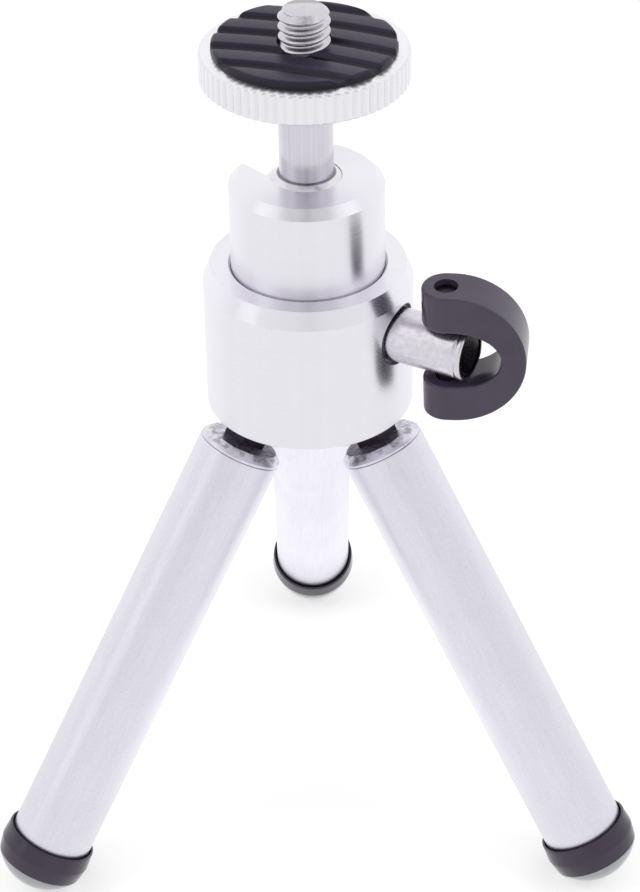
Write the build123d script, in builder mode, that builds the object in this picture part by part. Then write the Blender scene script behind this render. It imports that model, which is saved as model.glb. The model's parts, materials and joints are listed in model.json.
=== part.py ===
"""Mini table tripod with a ball head, a wing clamp and three folding legs.

Millimetres, +Z up. The origin is on the floor, on the axis of the body. The legs are open,
the head is upright and the clamp is tight.
"""

import os
from math import cos, radians, sin, sqrt, tan

from build123d import *

# --- driving dimensions ---------------------------------------------------------------

# fits
run_clearance = 0.05  # radial, between a turning piece and its bore
seat_gap = 0.1  # between flat faces that turn or slide past each other
cut_margin = 1.0  # how far a cut runs on past the face it opens

# legs
leg_names = ("rear", "left", "right")  # in turn round the body, evenly spaced
rear_leg_azimuth = 90.0
leg_splay = 30.5  # angle of an open leg from vertical
pivot_inset = 4.9  # hinge pin inside the hub's rim
pivot_lift = 2.1  # hinge pin above the body's underside
leg_pin_radius = 1.0
leg_pin_length = 10.0
tongue_thickness = 4.0
tongue_width = 4.2
leg_radius = 5.5
leg_wall = 0.8
leg_head_start = 6.85  # along the leg, hinge pin to the flat top of the head
leg_head_height = 1.3
leg_head_chamfer = 0.95
spigot_length = 8.0
leg_tube_length = 63.96
foot_overlap = 3.0  # how far the foot cap slides up over the tube
foot_wall = 0.55  # rubber round the tube, at the cap's lip
foot_bulge = 0.2  # widest part of the cap, proud of its lip
foot_edge_step = 0.4  # edge of the dome, proud of the tube
foot_side_height = 4.75
foot_widest = 0.48  # where the cap is widest, as a share of its side's height
foot_dome_radius = 7.5

# body and hub
body_radius = 13.3
body_height = 20.0
body_taper_height = 2.25
body_taper = 0.9
lip_height = 2.6
skirt_wall = 1.9  # body round the hub
chamber_wall = 2.4  # body round the chamber
hub_height = 6.5
hub_edge = 0.3
slot_play = 0.1  # each side of a leg's tongue
slot_end_play = 0.06  # at the stop that an open leg rests on
slot_inner_play = 0.3  # behind a folded leg's tongue
slot_top_play = 0.2  # above the tongue
bore_mouth = 0.3  # chamfer at the top of the body's bore
guide_floor = 1.0  # hub left under the bore that guides the cone's post

# ball, collar and seat
collar_inset = 3.59  # collar's side, in from the body's
ball_wall = 2.71  # collar round the ball
collar_height = 12.2  # above the body
collar_chamfer = 1.15
collar_flange_play = 0.1  # flange in the chamber
collar_flange_height = 1.6
ball_cap = 1.5  # ball's top, proud of the collar's
tilt_slot_azimuth = 132.7
tilt_slot_clearance = 0.23
seat_bore_play = 0.15  # seat's bore, wider than the ball
seat_drop = 4.3  # seat's rim below the ball's centre

# stem, platform, pad and camera screw
stem_radius = 3.37
stem_length = 18.85  # ball centre to the platform
stem_neck_step = 0.47
stem_neck_height = 0.6
ball_spigot_radius = 2.0
ball_spigot_depth = 4.0
platform_radius = 12.8
platform_height = 3.8
platform_edge = 0.35
knurl_count = 68
knurl_radius = 0.42
pad_inset = 1.5  # pad's edge, in from the platform's
pad_thickness = 1.05
pad_groove_range = range(-3, 3)  # grooves before and after the one nearest to the screw
pad_groove_pitch = 4.27
pad_groove_width = 1.5
pad_groove_depth = 0.55
pad_groove_offset = 0.9  # from the screw's axis to the nearest groove
pad_arc_distance = 58.25  # from the screw's axis to the centre of the curved grooves
pad_arc_azimuth = 251.6
stud_radius = 3.175  # 1/4"-20 camera screw
stud_height = 4.2  # above the pad
stud_chamfer = 0.7
stud_relief = 0.425  # depth of the thread's runout at the screw's foot
stud_relief_height = 0.3  # above the pad
stud_tail_radius = 2.0
stud_tail_depth = 8.0
stud_hole_clearance = 0.15

# wing clamp
clamp_azimuth = -30.0
clamp_drop = 7.0  # clamp axis below the body's top
clamp_turn = 3.5  # turn of the screw about its own axis
clamp_radius = 3.48
clamp_reach = 9.7  # screw's outer end, out from the body's side
clamp_thread_step = 0.1  # end of the thread, out from the chamber's side
clamp_tip_length = 2.4
clamp_tip_radius = 2.4
clamp_tip_flat = 0.5
clamp_chamfer = 0.3
clamp_groove_offset = 0.9
clamp_groove = 0.15
counterbore_play = 0.47  # round the screw
counterbore_depth = 0.8
lever_pin_offset = 3.3  # from the screw's outer end to the lever's pin
lever_pin_radius = 1.45
lever_pin_recess = 0.8
lever_swing = 22.0  # lever's turn about its pin
lever_radius = 9.2
lever_centre = 0.85  # centre of the wing's arc, out from the pin
lever_knuckle = 3.05
lever_inner_reach = 6.1
lever_play = 0.62  # between each arm and the screw
lever_edge = 0.35

# clamp cone
cone_top_gap = 0.3
cone_rim_play = 0.5  # cone's rim in the chamber
cone_slope = 45.0  # flank of the cone and of the screw's tip
cone_post_radius = 2.5
cone_post_length = 8.0
cone_post_clearance = 0.06
cone_foot_drop = 0.2  # foot of the flank below the screw's axis

# --- derived sizes and levels ---------------------------------------------------------

splay = radians(leg_splay)
leg_spacing = 360 / len(leg_names)
leg_azimuths = {name: rear_leg_azimuth + i * leg_spacing for i, name in enumerate(leg_names)}
hub_radius = body_radius - skirt_wall
pivot_radius = hub_radius - pivot_inset
chamber_radius = body_radius - chamber_wall
collar_radius = body_radius - collar_inset
collar_flange_radius = chamber_radius - collar_flange_play
ball_radius = collar_radius - ball_wall
ball_depth = ball_radius - ball_cap
collar_bore_radius = ball_radius + seat_bore_play
cone_rim_radius = chamber_radius - cone_rim_play
clamp_end = body_radius + clamp_reach
clamp_thread_end = chamber_radius + clamp_thread_step
counterbore_radius = clamp_radius + counterbore_play
lever_inner_height = clamp_radius + lever_play
stem_neck_radius = stem_radius - stem_neck_step
pad_radius = platform_radius - pad_inset
stud_relief_radius = stud_radius - stud_relief
foot_lip_radius = leg_radius + foot_wall
foot_radius = foot_lip_radius + foot_bulge
foot_edge_radius = leg_radius + foot_edge_step

tube_start = leg_head_start + leg_head_height
tube_end = tube_start + leg_tube_length
foot_start = tube_end - foot_overlap
foot_edge = foot_start + foot_side_height
dome_rise = sqrt(foot_dome_radius**2 - foot_edge_radius**2)
dome_centre = foot_edge - dome_rise
foot_end = dome_centre + foot_dome_radius

pivot_level = dome_centre * cos(splay) + foot_dome_radius
body_bottom = pivot_level - pivot_lift
body_top = body_bottom + body_height
hub_top = body_bottom + hub_height
lip_bottom = body_top - lip_height
flange_top = lip_bottom - seat_gap
flange_bottom = flange_top - collar_flange_height
collar_top = body_top + collar_height
ball_level = collar_top - ball_depth
platform_bottom = ball_level + stem_length
platform_top = platform_bottom + platform_height
pad_top = platform_top + pad_thickness
stud_top = pad_top + stud_height
clamp_level = body_top - clamp_drop
cone_top = flange_bottom - cone_top_gap
slot_width = tongue_thickness + 2 * slot_play
tongue_half = tongue_width / 2
axis_radius_at_base = pivot_radius + pivot_lift * tan(splay)
slot_outer = axis_radius_at_base + tongue_half / cos(splay) + slot_end_play
slot_inner = pivot_radius - tongue_half - slot_inner_play
slot_top = pivot_level + tongue_half + slot_top_play
tilt_slot_half = stem_radius + tilt_slot_clearance
socket_radius = ball_radius + run_clearance

os.makedirs("parts", exist_ok=True)


def direction(azimuth):
    """Horizontal unit vector at an azimuth in degrees."""
    return Vector(cos(radians(azimuth)), sin(radians(azimuth)), 0)


def save(builder, name):
    """Label a finished piece and write it as a STEP file."""
    builder.part.label = name
    export_step(builder.part, f"parts/{name}.step")


# --- body -----------------------------------------------------------------------------


def clamp_plane(distance):
    """Plane across the clamp screw, facing outwards, at a distance from the body's axis."""
    outward = direction(clamp_azimuth)
    centre = outward * distance + Vector(0, 0, clamp_level)
    return Plane(origin=centre, x_dir=(0, 0, 1), z_dir=outward)


def make_body():
    """Turned housing: lip at the top, chamber inside, threaded hole for the clamp screw."""
    bore_radius = collar_radius + run_clearance
    with BuildPart() as body:
        with BuildSketch(Plane.XZ):
            with BuildLine():
                Polyline(
                    (hub_radius, body_bottom),
                    (body_radius - hub_edge, body_bottom),
                    (body_radius, body_bottom + hub_edge),
                    (body_radius, body_top - body_taper_height),
                    (body_radius - body_taper, body_top),
                    (bore_radius + bore_mouth, body_top),
                    (bore_radius, body_top - bore_mouth),
                    (bore_radius, lip_bottom),
                    (chamber_radius, lip_bottom),
                    (chamber_radius, hub_top),
                    (hub_radius, hub_top),
                    close=True,
                )
            make_face()
        revolve(axis=Axis.Z)
        with BuildSketch(clamp_plane(0)):
            Circle(clamp_radius + run_clearance)
        extrude(amount=body_radius + cut_margin, mode=Mode.SUBTRACT)
        with BuildSketch(clamp_plane(body_radius - counterbore_depth)):
            Circle(counterbore_radius)
        extrude(amount=counterbore_depth + cut_margin, mode=Mode.SUBTRACT)
    save(body, "body")


def make_leg_hub():
    """Hub pressed into the bottom of the body, with a slot and a pin bore for each leg."""
    with BuildPart() as leg_hub:
        with BuildSketch(Plane.XY.offset(body_bottom)):
            Circle(hub_radius)
        extrude(amount=hub_height)
        with BuildSketch(Plane.XY.offset(hub_top)):
            Circle(cone_post_radius + cone_post_clearance)
        extrude(amount=-(hub_height - guide_floor), mode=Mode.SUBTRACT)
        for azimuth in leg_azimuths.values():
            radial = direction(azimuth)
            with BuildSketch(Plane(origin=(0, 0, body_bottom), x_dir=radial, z_dir=(0, 0, 1))):
                with Locations(((slot_inner + slot_outer) / 2, 0)):
                    Rectangle(slot_outer - slot_inner, slot_width)
            extrude(amount=slot_top - body_bottom, mode=Mode.SUBTRACT)
            tangent = direction(azimuth + 90)
            pivot = radial * pivot_radius + Vector(0, 0, pivot_level)
            with BuildSketch(Plane(origin=pivot - tangent * (leg_pin_length / 2), z_dir=tangent)):
                Circle(leg_pin_radius)
            extrude(amount=leg_pin_length / 2 + hub_radius, mode=Mode.SUBTRACT)
    save(leg_hub, "leg_hub")


# --- legs -----------------------------------------------------------------------------


def make_leg(name, azimuth):
    """Hinge pin, head, tube and foot cap of one open leg."""
    radial = direction(azimuth)
    tangent = direction(azimuth + 90)
    along = radial * sin(splay) - Vector(0, 0, cos(splay))
    outward = radial * cos(splay) + Vector(0, 0, sin(splay))
    pivot = radial * pivot_radius + Vector(0, 0, pivot_level)
    across = Plane(origin=pivot, x_dir=tangent, z_dir=along)  # faces down the leg
    lengthwise = Plane(origin=pivot, x_dir=outward, z_dir=outward.cross(along))  # Y runs down the leg
    leg_axis = Axis(pivot, along)
    pin_end = Plane(origin=pivot - tangent * (leg_pin_length / 2), z_dir=tangent)

    with BuildPart() as leg_pin:
        with BuildSketch(pin_end):
            Circle(leg_pin_radius)
        extrude(amount=leg_pin_length)
    save(leg_pin, f"leg_pin_{name}")

    with BuildPart() as leg_head:
        with BuildSketch(lengthwise):
            with BuildLine():
                Polyline(
                    (0, leg_head_start),
                    (leg_radius - leg_head_chamfer, leg_head_start),
                    (leg_radius, leg_head_start + leg_head_chamfer),
                    (leg_radius, tube_start),
                    (leg_radius - leg_wall, tube_start),
                    (leg_radius - leg_wall, tube_start + spigot_length),
                    (0, tube_start + spigot_length),
                    close=True,
                )
            make_face()
        revolve(axis=leg_axis)
        with BuildSketch(lengthwise):
            Circle(tongue_half)
            with Locations((0, leg_head_start / 2)):
                Rectangle(tongue_width, leg_head_start)
        extrude(amount=tongue_thickness / 2, both=True)
        with BuildSketch(lengthwise):
            Circle(leg_pin_radius + run_clearance)
        extrude(amount=tongue_thickness, both=True, mode=Mode.SUBTRACT)
    save(leg_head, f"leg_head_{name}")

    with BuildPart() as leg_tube:
        with BuildSketch(across.offset(tube_start)):
            Circle(leg_radius)
            Circle(leg_radius - leg_wall, mode=Mode.SUBTRACT)
        extrude(amount=leg_tube_length)
    save(leg_tube, f"leg_tube_{name}")

    with BuildPart() as foot_cap:
        with BuildSketch(lengthwise):
            with BuildLine():
                lip = Line((leg_radius, foot_start), (foot_lip_radius, foot_start))
                side = ThreePointArc(
                    lip @ 1,
                    (foot_radius, foot_start + foot_side_height * foot_widest),
                    (foot_edge_radius, foot_edge),
                )
                dome = RadiusArc(side @ 1, (0, foot_end), -foot_dome_radius)
                Polyline(dome @ 1, (0, tube_end), (leg_radius, tube_end), (leg_radius, foot_start))
            make_face()
        revolve(axis=leg_axis)
    save(foot_cap, f"foot_cap_{name}")


# --- ball head ------------------------------------------------------------------------


def make_collar():
    """Sleeve that turns in the body, with the ball's socket and a slot for a full tilt."""
    mouth_radius = sqrt(socket_radius**2 - ball_depth**2)
    with BuildPart() as ball_collar:
        with BuildSketch(Plane.XZ):
            with BuildLine():
                Polyline(
                    (mouth_radius, collar_top),
                    (collar_radius - collar_chamfer, collar_top),
                    (collar_radius, collar_top - collar_chamfer),
                    (collar_radius, flange_top),
                    (collar_flange_radius, flange_top),
                    (collar_flange_radius, flange_bottom),
                    (collar_bore_radius, flange_bottom),
                    (collar_bore_radius, ball_level),
                    (socket_radius, ball_level),
                )
                RadiusArc((socket_radius, ball_level), (mouth_radius, collar_top), -socket_radius)
            make_face()
        revolve(axis=Axis.Z)
        slot_direction = direction(tilt_slot_azimuth)
        slot_side = direction(tilt_slot_azimuth + 90)
        slot_height = ball_depth + cut_margin
        with BuildSketch(Plane(origin=(0, 0, ball_level), x_dir=slot_side, z_dir=slot_direction)):
            Circle(tilt_slot_half)
            with Locations((0, slot_height / 2)):
                Rectangle(2 * tilt_slot_half, slot_height)
        extrude(amount=collar_radius + cut_margin, mode=Mode.SUBTRACT)
    save(ball_collar, "ball_collar")


def make_ball():
    """Steel ball, bored from the top for the stem's spigot."""
    with BuildPart() as ball:
        with Locations((0, 0, ball_level)):
            Sphere(ball_radius)
        spigot_bottom = ball_level + ball_radius - ball_spigot_depth
        with BuildSketch(Plane.XY.offset(spigot_bottom)):
            Circle(ball_spigot_radius + run_clearance)
        extrude(amount=ball_spigot_depth, mode=Mode.SUBTRACT)
    save(ball, "ball")


def make_seat():
    """Plastic cup under the ball, pushed up by the clamp cone."""
    seat_top = ball_level - seat_drop
    with BuildPart() as ball_seat:
        with BuildSketch(Plane.XY.offset(cone_top)):
            Circle(collar_bore_radius - run_clearance)
        extrude(amount=seat_top - cone_top)
        with Locations((0, 0, ball_level)):
            Sphere(socket_radius, mode=Mode.SUBTRACT)
    save(ball_seat, "ball_seat")


def make_clamp_cone():
    """Cone whose flank the clamp screw's tip pushes, with a guide post in the hub."""
    slope = radians(cone_slope)
    tip_reach = clamp_thread_end - clamp_tip_length
    flank_offset = tip_reach - clamp_tip_flat / tan(slope) - run_clearance / sin(slope)
    rim_level = clamp_level + (cone_rim_radius - flank_offset) * tan(slope)
    foot_level = clamp_level - cone_foot_drop
    with BuildPart() as clamp_cone:
        with BuildSketch(Plane.XZ):
            with BuildLine():
                Polyline(
                    (0, cone_top),
                    (cone_rim_radius, cone_top),
                    (cone_rim_radius, rim_level),
                    (flank_offset - cone_foot_drop / tan(slope), foot_level),
                    (cone_post_radius, foot_level),
                    (cone_post_radius, foot_level - cone_post_length),
                    (0, foot_level - cone_post_length),
                    close=True,
                )
            make_face()
        revolve(axis=Axis.Z)
    save(clamp_cone, "clamp_cone")


def make_stem():
    """Post between the ball and the platform."""
    joint_level = ball_level + sqrt(ball_radius**2 - stem_radius**2)
    spigot_bottom = ball_level + ball_radius - ball_spigot_depth
    with BuildPart() as stem:
        with BuildSketch(Plane.XY.offset(spigot_bottom)):
            Circle(ball_spigot_radius)
        extrude(amount=platform_bottom - spigot_bottom)
        with BuildSketch(Plane.XY.offset(joint_level)):
            Circle(stem_radius)
        extrude(amount=platform_bottom - stem_neck_height - joint_level)
        with BuildSketch(Plane.XY.offset(platform_bottom - stem_neck_height)):
            Circle(stem_neck_radius)
        extrude(amount=stem_neck_height)
        with Locations((0, 0, ball_level)):
            Sphere(ball_radius, mode=Mode.SUBTRACT)
        with BuildSketch(Plane.XY.offset(platform_bottom)):
            Circle(stud_tail_radius)
        extrude(amount=-(stud_tail_depth - platform_height), mode=Mode.SUBTRACT)
    save(stem, "stem")


def make_platform():
    """Knurled disc under the camera."""
    with BuildPart() as platform:
        with BuildSketch(Plane.XY.offset(platform_bottom)):
            Circle(platform_radius)
        extrude(amount=platform_height)
        chamfer(platform.edges().filter_by(GeomType.CIRCLE), platform_edge)
        with BuildSketch(Plane.XY.offset(platform_bottom)):
            with PolarLocations(platform_radius + knurl_radius / 2, knurl_count):
                Circle(knurl_radius)
        extrude(amount=platform_height, mode=Mode.SUBTRACT)
        with BuildSketch(Plane.XY.offset(platform_bottom)):
            Circle(stud_tail_radius)
        extrude(amount=platform_height, mode=Mode.SUBTRACT)
    save(platform, "platform")


def make_pad():
    """Rubber pad, with broad ribs between grooves that are arcs about one distant centre."""
    arc_centre = direction(pad_arc_azimuth) * pad_arc_distance
    with BuildPart() as platform_pad:
        with BuildSketch(Plane.XY.offset(platform_top)):
            Circle(pad_radius)
            Circle(stud_radius + stud_hole_clearance, mode=Mode.SUBTRACT)
        extrude(amount=pad_thickness)
        for groove in pad_groove_range:
            arc_radius = pad_arc_distance + pad_groove_offset + groove * pad_groove_pitch
            with BuildSketch(Plane.XY.offset(pad_top)):
                with Locations((arc_centre.X, arc_centre.Y)):
                    Circle(arc_radius + pad_groove_width / 2)
                    Circle(arc_radius - pad_groove_width / 2, mode=Mode.SUBTRACT)
            extrude(amount=-pad_groove_depth, mode=Mode.SUBTRACT)
    save(platform_pad, "platform_pad")


def make_stud():
    """Camera screw: tail through the platform into the stem, relief in the pad, threaded end."""
    relief_top = pad_top + stud_relief_height
    with BuildPart() as camera_stud:
        with BuildSketch(Plane.XZ):
            with BuildLine():
                Polyline(
                    (0, platform_top - stud_tail_depth),
                    (stud_tail_radius, platform_top - stud_tail_depth),
                    (stud_tail_radius, platform_top),
                    (stud_relief_radius, platform_top),
                    (stud_relief_radius, relief_top),
                    (stud_radius, relief_top),
                    (stud_radius, stud_top - stud_chamfer),
                    (stud_radius - stud_chamfer, stud_top),
                    (0, stud_top),
                    close=True,
                )
            make_face()
        revolve(axis=Axis.Z)
    save(camera_stud, "camera_stud")


# --- wing clamp -----------------------------------------------------------------------


def clamp_frame():
    """Origin on the lever's pin, direction of the screw and direction of the pin."""
    outward = direction(clamp_azimuth)
    sideways = direction(clamp_azimuth - 90)
    turn = radians(clamp_turn)
    origin = outward * (clamp_end - lever_pin_offset) + Vector(0, 0, clamp_level)
    pin_direction = Vector(0, 0, 1) * cos(turn) + sideways * sin(turn)
    return origin, outward, pin_direction


def make_clamp_screw():
    """Steel screw with a cone point inside the body and a cross hole for the lever's pin."""
    origin, outward, pin_direction = clamp_frame()
    axis_origin = Vector(0, 0, clamp_level)
    lengthwise = Plane(origin=axis_origin, x_dir=outward, z_dir=outward.cross(Vector(0, 0, 1)))
    tip = clamp_thread_end - clamp_tip_length
    tip_flank_length = (clamp_tip_radius - clamp_tip_flat) / tan(radians(cone_slope))
    groove = clamp_end - clamp_groove_offset
    with BuildPart() as clamp_screw:
        with BuildSketch(lengthwise):
            with BuildLine():
                Polyline(
                    (tip, 0),
                    (tip, clamp_tip_flat),
                    (tip + tip_flank_length, clamp_tip_radius),
                    (clamp_thread_end, clamp_tip_radius),
                    (clamp_thread_end, clamp_radius),
                    (groove - clamp_groove, clamp_radius),
                    (groove, clamp_radius - clamp_groove),
                    (groove + clamp_groove, clamp_radius),
                    (clamp_end - clamp_chamfer, clamp_radius),
                    (clamp_end, clamp_radius - clamp_chamfer),
                    (clamp_end, 0),
                    close=True,
                )
            make_face()
        revolve(axis=Axis(axis_origin, outward))
        with BuildSketch(Plane(origin=origin, z_dir=pin_direction)):
            Circle(lever_pin_radius)
        extrude(amount=clamp_radius + cut_margin, both=True, mode=Mode.SUBTRACT)
    save(clamp_screw, "clamp_screw")


def make_lever_pin():
    """Pin pressed through the screw, on which the wing folds."""
    origin, outward, pin_direction = clamp_frame()
    with BuildPart() as lever_pin:
        with BuildSketch(Plane(origin=origin, z_dir=pin_direction)):
            Circle(lever_pin_radius)
        extrude(amount=lever_radius - lever_pin_recess, both=True)
    save(lever_pin, "lever_pin")


def make_lever():
    """C-shaped wing whose two arms straddle the screw."""
    origin, outward, pin_direction = clamp_frame()
    swing = radians(lever_swing)
    reach = outward * cos(swing) + pin_direction.cross(outward) * sin(swing)
    upright = Plane(origin=origin, x_dir=reach, z_dir=reach.cross(pin_direction))
    level = Plane(origin=origin, x_dir=reach, z_dir=pin_direction)
    with BuildPart() as clamp_lever:
        with BuildSketch(upright):
            with Locations((lever_centre, 0)):
                Circle(lever_radius)
            with Locations(((lever_centre - lever_knuckle) / 2, 0)):
                Rectangle(lever_centre + lever_knuckle, 2 * lever_radius)
            with Locations((-lever_knuckle - lever_radius / 2, 0)):
                Rectangle(lever_radius, 2 * lever_radius, mode=Mode.SUBTRACT)
            with Locations((lever_centre, 0)):
                Ellipse(lever_inner_reach, lever_inner_height, mode=Mode.SUBTRACT)
            with Locations(((lever_centre - lever_knuckle) / 2, 0)):
                Rectangle(lever_centre + lever_knuckle, 2 * lever_inner_height, mode=Mode.SUBTRACT)
        extrude(amount=lever_knuckle, both=True)
        with BuildSketch(level):
            Circle(lever_knuckle)
            with Locations((lever_radius, 0)):
                Rectangle(2 * lever_radius, 2 * lever_knuckle)
        extrude(amount=lever_radius, both=True, mode=Mode.INTERSECT)
        fillet(clamp_lever.edges(), lever_edge)
        with BuildSketch(level):
            Circle(lever_pin_radius + run_clearance)
        extrude(amount=lever_radius, both=True, mode=Mode.SUBTRACT)
    save(clamp_lever, "clamp_lever")


make_body()
make_leg_hub()
for leg_name, leg_azimuth in leg_azimuths.items():
    make_leg(leg_name, leg_azimuth)
make_collar()
make_ball()
make_seat()
make_clamp_cone()
make_stem()
make_platform()
make_pad()
make_stud()
make_clamp_screw()
make_lever_pin()
make_lever()
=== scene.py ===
"""Mini table tripod with a ball head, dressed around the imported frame.

Metres, +Z up, in the frame of the CAD model. Sizes that the frame doesn't give are named values in
millimetres, which MM turns into metres where they are used.
"""
import json
from math import cos, hypot, pi, radians, sin, sqrt, tan

import bpy
from mathutils import Matrix, Vector


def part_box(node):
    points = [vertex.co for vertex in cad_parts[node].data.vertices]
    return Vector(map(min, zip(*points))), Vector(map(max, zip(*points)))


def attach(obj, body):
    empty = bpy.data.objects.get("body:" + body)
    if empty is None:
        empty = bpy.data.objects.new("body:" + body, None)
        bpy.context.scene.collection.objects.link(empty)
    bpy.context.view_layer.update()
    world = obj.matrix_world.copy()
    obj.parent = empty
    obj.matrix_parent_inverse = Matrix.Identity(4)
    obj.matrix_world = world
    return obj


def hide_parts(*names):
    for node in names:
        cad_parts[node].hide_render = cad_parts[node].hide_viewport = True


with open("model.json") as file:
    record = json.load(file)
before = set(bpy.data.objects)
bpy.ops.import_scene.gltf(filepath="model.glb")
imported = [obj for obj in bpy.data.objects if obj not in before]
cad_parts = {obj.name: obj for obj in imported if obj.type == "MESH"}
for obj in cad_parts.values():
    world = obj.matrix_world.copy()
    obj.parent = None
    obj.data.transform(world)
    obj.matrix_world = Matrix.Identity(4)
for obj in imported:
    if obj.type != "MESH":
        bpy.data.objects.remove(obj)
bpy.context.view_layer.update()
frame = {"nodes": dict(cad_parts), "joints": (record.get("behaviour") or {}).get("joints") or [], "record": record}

MM = 0.001
UP = Vector((0, 0, 1))
ORIGIN = Vector((0, 0, 0))
LEGS = ("left", "right", "rear")
JOINTS = {joint["name"]: joint for joint in frame["joints"]}
MOUNTS = {mount["name"]: mount for mount in frame["record"]["mounts"]}


def low_of(node):
    """Height of a CAD node's lowest point."""
    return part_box(node)[0][2]


def high_of(node):
    """Height of a CAD node's highest point."""
    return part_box(node)[1][2]


def half_width(node):
    """Half of a CAD node's extent along X."""
    low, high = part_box(node)
    return (high[0] - low[0]) / 2


def metres(lengths):
    """Lengths in millimetres, or a point's coordinates, in metres."""
    return [length * MM for length in lengths]


# --- sizes, in millimetres ------------------------------------------------------------

# Radii that break a profile's corners.
CRISP_EDGE = 0.1
FINE_EDGE = 0.15
SOFT_EDGE = 0.2

# Legs. Lengths run down the leg from its hinge pin.
LEG_SPLAY = radians(30.5)
PIN_BORE = 1.05
TONGUE_HALF = 2.1  # half of the tongue's width, and the radius of its end
TONGUE_THICKNESS = 4.0
TONGUE_ROOT = 0.6  # how far it runs on into the head
TUBE_RADIUS = 5.5
TUBE_BORE = 4.7
TUBE_START = 8.15
TUBE_END = 72.11
HEAD_START = 6.85
HEAD_CHAMFER = 0.95
HEAD_EDGE = 0.12
HEAD_INSET = 0.04  # of the head's side from the tube's
HEAD_GAP = 0.05  # joint line between head and tube, at the outside
HEAD_GAP_EDGE = 0.04
HEAD_GAP_INSIDE = 0.02
SPIGOT_END = 16.15

# Feet. The crease is where the black side meets the sole, whose grey is a painted reflection of the pale floor.
FOOT_START = 69.11
FOOT_WALL = 0.55
FOOT_MOUTH = 0.25  # gap round the tube at the cap's mouth
FOOT_MOUTH_DEPTH = 1.0
FOOT_WIDEST = 2.3  # down from the mouth
FOOT_RADIUS = 6.25
FOOT_BELLY = 1.2  # rounding of the widest part
FOOT_CREASE = 73.4
FOOT_CREASE_RADIUS = 5.9
SOLE_DOME = 6.78
SOLE_INSET = 0.05  # of the sole's rim from the crease
SOLE_SUNK = 0.1  # how far the sole sits up in the side

# Platform, pad and camera screw.
FLUTES = 68
FLUTE_DEPTH = 0.2
FLUTE_POWER = 1.5  # above 1, crests are broader than flutes
PLATFORM_EDGE = 0.35
PAD_FLOOR = 0.5  # bottom of the pad's grooves, above the platform
PAD_TOP = 1.05
PAD_RADIUS = 11.25
PAD_HOLE = 3.35
PAD_EDGE = 0.45
GROOVE_AZIMUTH = radians(251.6)  # of the point that the pad's curved grooves go round
GROOVE_DISTANCE = 58.25  # of that point from the screw
GROOVE_OFFSET = 0.9
GROOVE_PITCH = 4.27
GROOVE_FLOOR = 0.3  # half of the groove's flat bottom
GROOVE_FLANK = 0.75
RIB_CROWN = 0.14
THREAD_PITCH = 1.27
THREAD_DEPTH = 0.68
THREAD_POWER = 1.1  # above 1, grooves are broader than crests
THREAD_START = 0.4
STUD_TAIL = 2.0  # radius and length of the plain end inside the platform
STUD_FLAT = 2.4  # radius of the screw's flat end
STUD_CHAMFER = 0.7
CENTRE_MARK = 0.16

# Clamp screw. Lengths run outwards along its axis.
TIP_LENGTH = 2.4
TIP_RADIUS = 2.4
TIP_FLAT = 0.5
BARREL_START = 11.0
BARREL_END = 23.0
BARREL_RADIUS = 3.48
BARREL_EDGE = 0.3
BARREL_GROOVE = 0.9  # from the end back to the groove
BARREL_GROOVE_HALF = 0.3
BARREL_GROOVE_DEPTH = 0.12
DISH_RIM = 0.7  # from the barrel's side in to where its end starts to dish
DISH_FLOOR = 1.0
DISH_DEPTH = 0.15

# Places where painted shade darkens the metal, and the barrel's dark end face. A pair is where the dark starts to
# fade and where it ends.
BORE_RADIUS = 4.05  # of the body's bore for the clamp screw
MOUTH_MARGIN = 0.12  # past the ball, at the collar's mouth
MOUTH_DROP = 0.03
COLLAR_SEAM = (0.04, 0.16)  # above the body's top
STEM_SEAM = (0.23, 0.38)  # out from the stem's side, on the ball
DARK_END_INSET = 0.5  # of the barrel's dark end face from its side
DARK_END_DEPTH = 0.3
FLUTE_MARGIN = 0.03

# --- meshes ---------------------------------------------------------------------------

TURNED_POINTS = 160  # round a turned piece
ARC_STEPS = 5
TONGUE_POINTS = 72
DOME_STEPS = 16
FLUTE_POINTS = 12
PAD_POINTS = 720
PAD_RINGS = 100
STUD_POINTS = 96
STUD_STEPS = 20  # per turn of the thread
PLATFORM_EDGE_ANGLES = range(0, 91, 15)
PAD_EDGE_ANGLES = (0, 20, 40, 60, 75)
SHARP = 32  # degrees between faces, from which an edge is shaded sharp
RIB_SHARP = 50


def add_object(name, vertices, faces, sharp_angle=SHARP):
    """Object with a smooth-shaded mesh, sharp where faces meet at more than the angle."""
    mesh = bpy.data.meshes.new(name)
    mesh.from_pydata(vertices, [], faces)
    mesh.validate()
    mesh.shade_smooth()
    mesh.set_sharp_from_angle(angle=radians(sharp_angle))
    made = bpy.data.objects.new(name, mesh)
    bpy.context.scene.collection.objects.link(made)
    return made


def skin(name, rows, loop=False, sharp_angle=SHARP):
    """Closed surface over rows of points, each a ring or a single point that closes an end.

    Loop joins the last row to the first.
    """
    vertices, faces, numbered = [], [], []
    for row in rows:
        numbered.append(range(len(vertices), len(vertices) + len(row)))
        vertices += row
    pairs = list(zip(numbered, numbered[1:]))
    if loop:
        pairs.append((numbered[-1], numbered[0]))
    for low, high in pairs:
        count = max(len(low), len(high))
        for j in range(count):
            k = (j + 1) % count
            if len(low) == 1:
                faces.append((low[0], high[k], high[j]))
            elif len(high) == 1:
                faces.append((low[j], low[k], high[0]))
            else:
                faces.append((low[j], low[k], high[k], high[j]))
    return add_object(name, vertices, faces, sharp_angle)


def turns(count):
    """Angles that divide a full turn evenly."""
    return [2 * pi * j / count for j in range(count)]


def ring(radius, height, count):
    """Points of a level circle."""
    return [(radius * cos(t), radius * sin(t), height) for t in turns(count)]


def turned(name, profile, loop=False):
    """Solid of revolution about local Z, from (r, z) points in millimetres, bottom first."""
    rows = []
    for r, z in profile:
        rows.append(ring(r * MM, z * MM, TURNED_POINTS) if r > 0 else [(0, 0, z * MM)])
    return skin(name, rows, loop)


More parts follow.
